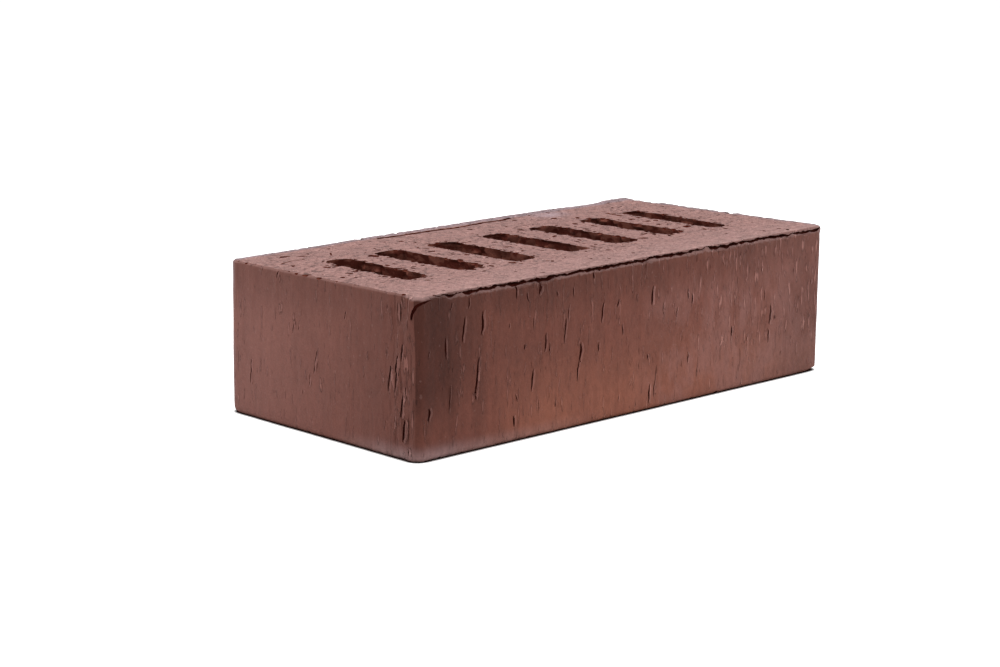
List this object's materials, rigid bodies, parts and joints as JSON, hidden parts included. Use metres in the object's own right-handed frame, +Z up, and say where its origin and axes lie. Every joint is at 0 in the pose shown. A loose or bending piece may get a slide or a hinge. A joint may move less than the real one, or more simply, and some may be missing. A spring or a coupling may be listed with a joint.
{
  "type": "clay brick",
  "caption": "Oblong fired clay facing brick with a row of through slots across its beds, rounded upright edges and a wire-cut burr along one long upper edge.",
  "frame": {"origin": "middle of the lower bed, on the level floor that the brick lies on", "axes": "+X along the stretcher faces, +Y from the front stretcher with the burr to the back stretcher, +Z up from the lower bed to the upper bed, along the slots"},
  "size_m": [0.25, 0.12, 0.065],
  "materials": {
    "fired_clay": "matt unglazed fired clay, reddish brown, with upright drag marks and small tears"
  },
  "bodies": {
    "root": {"brick": "fired_clay"}
  },
  "joints": []
}
